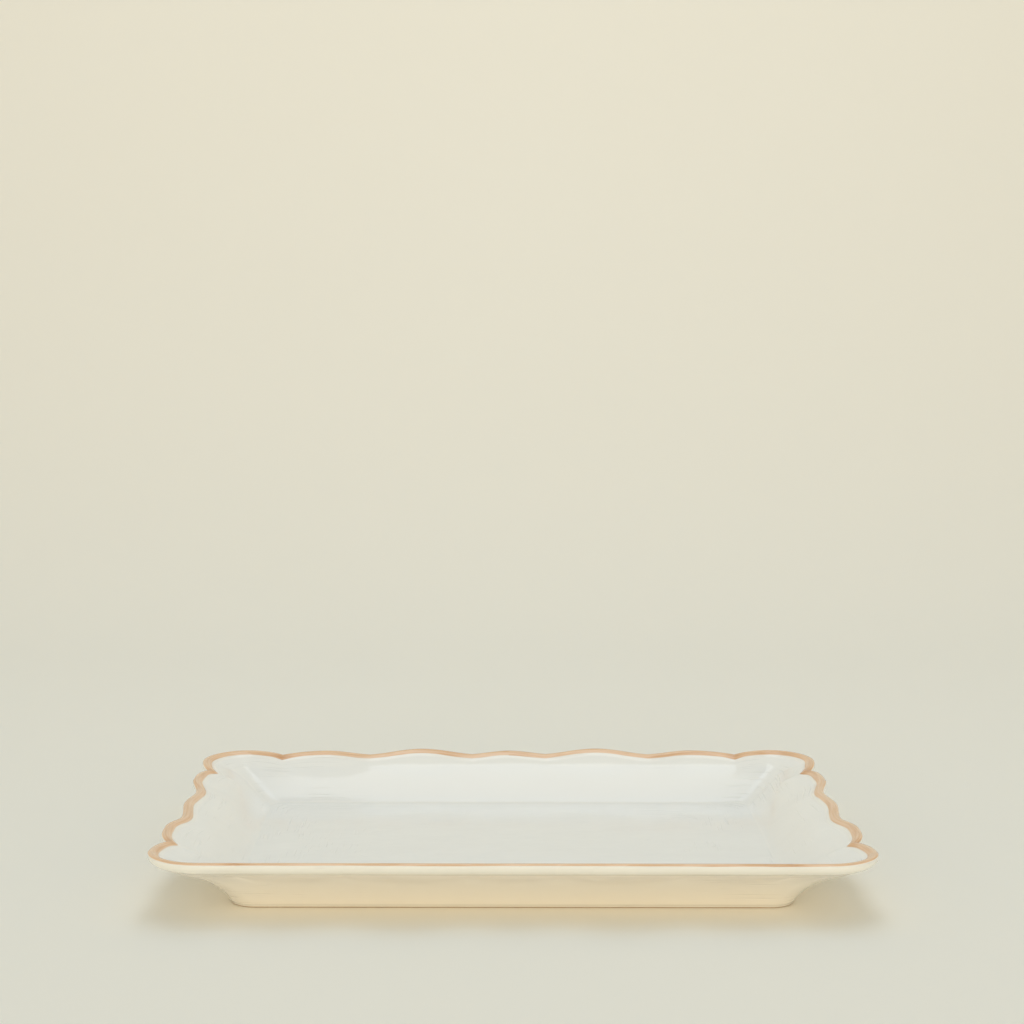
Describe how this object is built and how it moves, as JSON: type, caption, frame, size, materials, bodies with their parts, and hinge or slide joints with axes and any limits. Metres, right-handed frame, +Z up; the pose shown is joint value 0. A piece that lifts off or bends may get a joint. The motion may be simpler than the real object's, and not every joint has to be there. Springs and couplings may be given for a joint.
{
  "type": "serving platter",
  "caption": "Rectangular china serving platter with a scalloped lip, a hand-painted rim band, a sloped flange, a shallow well and a low foot.",
  "frame": {"origin": "middle of the standing face, on the surface the platter rests on", "axes": "+X along the long side, +Y along the short side, +Z up out of the well"},
  "size_m": [0.3592, 0.2616, 0.0329],
  "materials": {
    "clay": "fired white china clay",
    "bare_foot": "unglazed standing face, glazed sides",
    "white_glaze": "clear gloss over white",
    "rim_paint": "hand-painted blush band, glossy"
  },
  "bodies": {
    "root": {"clay_body": "clay", "foot_ring": "bare_foot", "face_glaze": "white_glaze", "underside_glaze": "white_glaze", "recess_glaze": "white_glaze", "rim_band": "rim_paint"}
  },
  "joints": []
}
